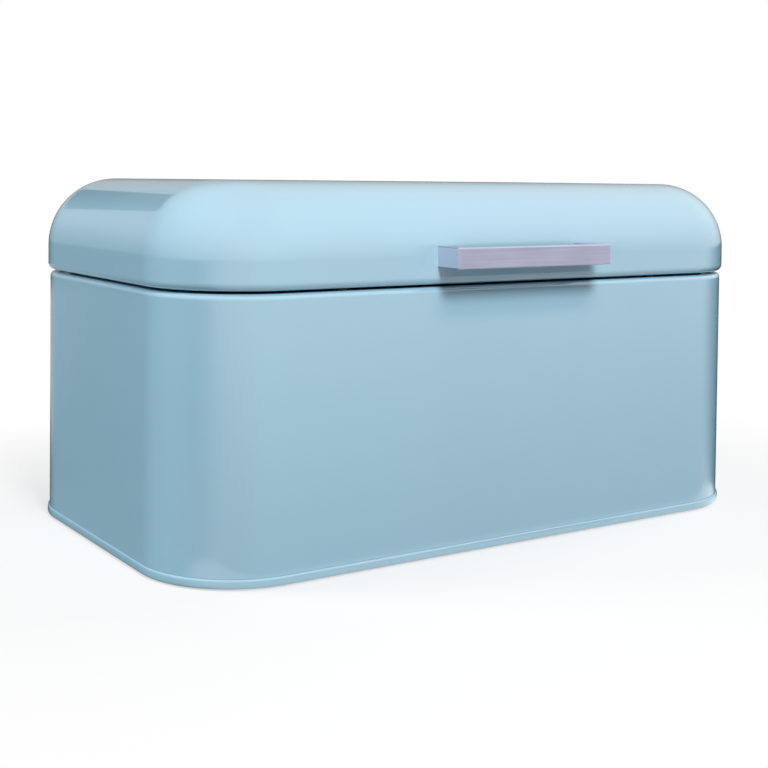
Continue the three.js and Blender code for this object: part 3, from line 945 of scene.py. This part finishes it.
def eased(made, width, angle=40):
    """A small bevel along the sharp edges, as blanking and plating leave them."""
    modifier = made.modifiers.new("eased", "BEVEL")
    modifier.width = width * MM
    modifier.segments = 1
    modifier.limit_method = "ANGLE"
    modifier.angle_limit = radians(angle)
    modifier.use_clamp_overlap = True
    return settled(made)


wall_side = half_depth - lid_overhang + fit_gap - hinge_y
out_side = wall_side + leaf_sheet
half_hinge = hinge_width / 2
leaf_foot = -24
jog_low, jog_high = -7, -4
leaf_profile = [
    (wall_side, leaf_foot),
    (out_side, leaf_foot),
    (out_side, jog_low),
    (-leaf_inside, jog_high),
]
step_back = [(-knuckle_radius, jog_high), (wall_side, jog_low)]
plate_top = -(knuckle_radius + knuckle_gap)
body_leaf = strip(
    "hinge_body_leaves",
    [*leaf_profile, (-leaf_inside, plate_top), (-knuckle_radius, plate_top), *step_back],
    -half_hinge,
    half_hinge,
)
knuckle_profile = [*leaf_profile, *curl(-1)[::-1], *step_back]
# the tab ends where the lid's leaf lies when it is open
open_turn = radians(100)
tab_reach = 8
tab_play = 0.3
tab_half = 4
tab_foot = -8.2
along_leaf = (tab_reach + leaf_inside * cos(open_turn)) / sin(open_turn)
tab_up = leaf_inside * sin(open_turn) + along_leaf * cos(open_turn) - tab_play
tab_tip = Vector((tab_reach, tab_up))
tab_root = Vector((wall_side + leaf_sheet / 2, tab_foot))
along_tab = (tab_tip - tab_root).normalized() * leaf_sheet
below = Vector((along_tab.y, -along_tab.x))
tab = [tuple(p) for p in (tab_root, tab_root + below, tab_tip + below, tab_tip)]
window_low, window_high = -20.2, -10.2
window_past = 2
combined(
    body_leaf,
    [
        strip("knuckle", knuckle_profile, -half_hinge, -half_hinge + knuckle_width),
        strip("knuckle", knuckle_profile, half_hinge - knuckle_width, half_hinge),
        strip("tab", tab, -tab_half, tab_half),
    ],
    "UNION",
)
window = block(
    "window",
    (-tab_half, wall_side - window_past, window_low),
    (tab_half, out_side + window_past, window_high),
)
combined(body_leaf, [window], "DIFFERENCE")
eased(body_leaf, 0.12)
set_out(body_leaf, hinge_middle, zinc, (2 * hinge_x, 0, 0))
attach(body_leaf, "box")
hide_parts("hinge_body_leaf_left", "hinge_body_leaf_right")

# Hinge pins. A 3 mm zinc plated wire pin runs through the knuckles of each hinge, and both of
# its ends are peened over. The pins stay with the body.
pin_end = half_hinge + fit_gap
peen = [(pin_radius, 0), (2.1, 0), (2.2, 0.1), (2.15, 0.4), (1.85, 0.65), (1.2, 0.78), (0, 0.8)]
pin_half = [(radius, pin_end + out) for radius, out in peen]
other_half = [(radius, -out) for radius, out in pin_half[::-1]]
pins = piece("hinge_pins", *turned([*other_half, *pin_half], 36, "X"))
set_out(pins, hinge_middle, zinc, (2 * hinge_x, 0, 0))
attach(pins, "box")
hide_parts("hinge_pin_left", "hinge_pin_right")

# Lid leaves. The lid's half of each hinge is a flat plate on the lid's back wall, with the
# middle knuckle curled from it. It turns round the pin with the lid.
leaf_top = 14
leaf_end = [(-leaf_inside, leaf_top), (-knuckle_radius, leaf_top)]
lid_leaf = strip(
    "hinge_lid_leaves",
    [(-knuckle_radius, -plate_top), (-leaf_inside, -plate_top), *leaf_end],
    -half_hinge,
    half_hinge,
)
middle_knuckle = strip(
    "knuckle", [leaf_end[1], *curl(1), leaf_end[0]], -knuckle_width / 2, knuckle_width / 2
)
combined(lid_leaf, [middle_knuckle], "UNION")
eased(lid_leaf, 0.12)
set_out(lid_leaf, hinge_middle, zinc, (2 * hinge_x, 0, 0))
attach(lid_leaf, "lid")
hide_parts("hinge_lid_leaf_left", "hinge_lid_leaf_right")

# Rivets. Eight 3 mm steel rivets hold the leaves, two to a leaf. Each has a domed head outside
# and a tail upset against the sheet inside.
rivet_radius = 1.5
rivet_head_radius = 3
rivets_apart = 22
rivet_tail = -(leaf_sheet + fit_gap + sheet) - 0.3
rivet_head = [
    (rivet_head_radius * cos(t), 0.15 + 1.25 * sin(t))
    for t in [radians(degrees) for degrees in range(0, 90, 10)]
]
rivet_outline = [
    (0, rivet_tail - 1),
    (2.0, rivet_tail - 1),
    (2.3, rivet_tail - 0.8),
    (2.4, rivet_tail - 0.5),
    (2.3, rivet_tail - 0.1),
    (2.2, rivet_tail),
    (rivet_radius, rivet_tail),
    (rivet_radius, 0),
    (2.95, 0),
    *rivet_head,
    (0, 1.4),
]
for body, name, back, up in (
    ("lid", "rivets_of_lid", fit_gap - leaf_inside, 9.5),
    ("box", "rivets_of_body", out_side + fit_gap, -16),
):
    rivets = piece(name, *turned(rivet_outline, 36, "Y"))
    middle = hinge_middle + Vector((0, back, up)) * MM
    set_out(rivets, middle, zinc, (2 * hinge_x, 0, 0), (rivets_apart, 0, 0), 2)
    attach(rivets, body)
    start = "rivet_lid_" if body == "lid" else "rivet_body_"
    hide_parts(*[n for n in nodes if n.startswith(start)])

# Studio. A plain white floor that keeps the object's soft shadow, a white surround, one soft lamp
# high in front and one at each side. In gloss alone, floor and surround show in several greys,
# with two black cards, which give the enamel its dark and light fields.
floor_half = 9000
matt_reach = (0.17, 0.09, 0)  # from the middle of the floor, with the box's shadow in it
floor = piece(
    "floor",
    [(x * floor_half, y * floor_half, 0) for x, y in ((-1, -1), (1, -1), (1, 1), (-1, 1))],
    [(0, 1, 2, 3)],
)


def bare_tree(owner):
    """The emptied node tree of a new material or of the world."""
    owner.use_nodes = True
    owner.node_tree.nodes.clear()
    return owner.node_tree


def seen_and_glossy(tree):
    """Whether a ray comes from the camera, and whether it comes off a gloss."""
    path = node(tree, "ShaderNodeLightPath").outputs
    seen = number_node(tree, "MAXIMUM", path["Is Camera Ray"], path["Is Transmission Ray"])
    return seen, path["Is Glossy Ray"]


def one_of(tree, share, first, second):
    """The first of two shaders, or the second where the share is one."""
    return node(tree, "ShaderNodeMixShader", {0: share, 1: first, 2: second}).outputs[0]


def diffuse(tree, grey):
    """A matt grey, from black at zero to white at one."""
    return node(tree, "ShaderNodeBsdfDiffuse", {"Color": (grey, grey, grey, 1)}).outputs[0]


def glow(tree, strength):
    """A white that shows at one level from everywhere."""
    links = {"Color": (1, 1, 1, 1), "Strength": strength}
    return node(tree, "ShaderNodeEmission", links).outputs[0]


# the camera sees matt white close to the box, for its shadow, and even white further off
floor_paint = bpy.data.materials.new("floor_white")
floor_paint.cycles.emission_sampling = "NONE"
ground = bare_tree(floor_paint)
spot = node(ground, "ShaderNodeTexCoord").outputs["Object"]
from_middle = vector_node(ground, "ABSOLUTE", spot)
beyond = vector_node(ground, "SUBTRACT", from_middle, matt_reach)
beyond = vector_node(ground, "MAXIMUM", beyond, (0, 0, 0))
fade = ranged(ground, vector_node(ground, "LENGTH", beyond), 0.04, 0.3, 0.6, 1.0)
seen_floor = one_of(ground, fade, diffuse(ground, 0.82), glow(ground, 1.0))


def slope_across(way, start, end, level):
    """How bright the floor shows in gloss, rising smoothly to a level along a direction on it."""
    run = vector_node(ground, "DOT_PRODUCT", spot, (*way, 0))
    return ranged(ground, run, start, end, 0.04, level, "SMOOTHSTEP")


def swing_across(middle, first, last):
    """How far a bearing on the floor, seen from a point, has turned between two others."""
    run = vector_node(ground, "SUBTRACT", spot, (*middle, 0))
    run = node(ground, "ShaderNodeSeparateXYZ", {"Vector": run}).outputs
    bearing = number_node(ground, "ARCTAN2", run["Y"], run["X"])
    return ranged(ground, bearing, radians(first), radians(last), kind="SMOOTHSTEP")


def chained(operation, first, *others):
    """One number from several, taken up one after another."""
    for other in others:
        first = number_node(ground, operation, first, other)
    return first


camera_in_front_wall = (-0.492, 0.477)  # where that wall mirrors the camera to
front_left, front_right = (-0.19, -0.1), (0.2, -0.1)
back_left, back_right = (-0.2, 0.13), (0.2, 0.1)
# a dark patch in the floor's gloss, where the enamel under the handle mirrors it: a painted shadow
# of the handle there
handle_shadow_in_gloss = chained(
    "MULTIPLY",
    slope_across((0, -1), 1.05, 1.32, 1.0),
    slope_across((0, 1), -2.6, -2.35, 1.0),
    swing_across(camera_in_front_wall, -54.4, -53.4),
    swing_across(camera_in_front_wall, -46.9, -47.9),
)
front = chained(
    "MULTIPLY",
    slope_across((0, -1), -1.0, 1.4, 1.42),
    swing_across(front_left, -170, -130),
    swing_across(front_right, 5, -40),
    chained("SUBTRACT", 1.0, handle_shadow_in_gloss),
)
at_foot = chained(
    "MULTIPLY",
    slope_across((0, -1), 0.09, 0.12, 1.3),
    slope_across((0, 1), -0.152, -0.14, 1.0),
    slope_across((1, 0), -0.26, -0.22, 1.0),
    slope_across((-1, 0), -0.26, -0.22, 1.0),
)
behind_left = chained(
    "MULTIPLY",
    slope_across((0, 1), 0.2, 0.45, 0.3),
    slope_across((0, -1), -2.1, -1.5, 1.0),
    swing_across(back_left, 118, 98),
    swing_across(back_left, 80, 92),
)
behind = chained(
    "MULTIPLY",
    slope_across((0, 1), 0.3, 0.7, 0.45),
    slope_across((0, -1), -2.1, -1.5, 1.0),
    swing_across(back_right, 35, 60),
    swing_across(back_left, 98, 85),
)
mirrored = glow(ground, chained("MAXIMUM", front, at_foot, behind_left, behind))
seen, glossy = seen_and_glossy(ground)
bounced = one_of(ground, glossy, diffuse(ground, 0.4), mirrored)
node(ground, "ShaderNodeOutputMaterial", {"Surface": one_of(ground, seen, bounced, seen_floor)})
floor.data.materials.append(floor_paint)

# the surround is even white to the camera and weak as light; in gloss it falls off to the back
world = bpy.data.worlds.new("surround")
bpy.context.scene.world = world
world.cycles.sampling_method = "NONE"
tree = bare_tree(world)
way = node(tree, "ShaderNodeTexCoord").outputs["Generated"]
tilted = vector_node(tree, "DOT_PRODUCT", way, (-0.05, -1.1, 1.2))
bright = number_node(tree, "ADD", tilted, 0.87)
upwards = node(tree, "ShaderNodeSeparateXYZ", {0: way}).outputs["Z"]
least = ranged(tree, upwards, 0.0, 0.28, 0.2, 0.47, "SMOOTHSTEP")
in_gloss = number_node(tree, "MINIMUM", number_node(tree, "MAXIMUM", bright, least), 2.3)
seen, glossy = seen_and_glossy(tree)
spread = node(tree, "ShaderNodeMix", {"Factor": glossy, "A": 0.1, "B": in_gloss}).outputs[0]
level = node(tree, "ShaderNodeMix", {"Factor": seen, "A": spread, "B": 1.0}).outputs[0]
surround = node(tree, "ShaderNodeBackground", {"Color": (1, 1, 1, 1), "Strength": level})
node(tree, "ShaderNodeOutputWorld", {"Surface": surround.outputs[0]})


def black_card(name, one_end, other_end, foot, head, fades):
    """An upright black card that only the gloss shows, thinned out along x or z in metres."""
    low, high = [(*one_end, foot), (*other_end, foot)], [(*other_end, head), (*one_end, head)]
    card = piece(name, low + high, [(0, 1, 2, 3)])
    paint = bpy.data.materials.new(name)
    tree = bare_tree(paint)
    where = node(tree, "ShaderNodeTexCoord").outputs["Object"]
    axes = node(tree, "ShaderNodeSeparateXYZ", {"Vector": where}).outputs
    cover = 1.0
    for axis, start, end in fades:
        rise = ranged(tree, axes[axis], start, end, kind="SMOOTHSTEP")
        cover = number_node(tree, "MULTIPLY", cover, rise)
    clear = node(tree, "ShaderNodeBsdfTransparent").outputs[0]
    shown = one_of(tree, cover, clear, diffuse(tree, 0.01))
    node(tree, "ShaderNodeOutputMaterial", {"Surface": shown})
    card.data.materials.append(paint)
    card.visible_camera = card.visible_diffuse = card.visible_shadow = False
    card.visible_transmission = card.visible_volume_scatter = False


# the one behind gives the dark band on the lid's left shoulder
black_card("card_behind", (-455, 1500), (0, 1500), 620, 980, ())
# the one in front gives the handle's shadow on the body's rim
black_card(
    "card_front",
    (1768, -2823),
    (2302, -2386),
    0,
    1050,
    (("X", 1.768, 1.960), ("X", 2.302, 2.127), ("Z", 1.05, 0.65)),
)


def lamp(name, place, size, watts):
    """A soft rectangular lamp that faces the box and isn't seen in reflections."""
    data = bpy.data.lights.new(name, "AREA")
    data.shape = "RECTANGLE"
    data.size, data.size_y = size
    data.energy = watts
    made = bpy.data.objects.new(name, data)
    collection.objects.link(made)
    made.location = place
    made.rotation_euler = (lit_place - Vector(place)).to_track_quat("-Z", "Y").to_euler()
    made.visible_glossy = False


lit_place = Vector((0, 0, 0.12))
lamp("lamp_front", (-0.33, -1.55, 1.39), (0.5, 0.4), 34)
lamp("lamp_left", (-1.9, 1.1, 0.7), (1.0, 1.0), 41)
lamp("lamp_right", (2.2, 0.15, 0.7), (1.0, 1.0), 37)

view = bpy.context.scene.view_settings
view.view_transform = "Standard"


def corners(bounds):
    return [[float(value) for value in corner] for corner in bounds]
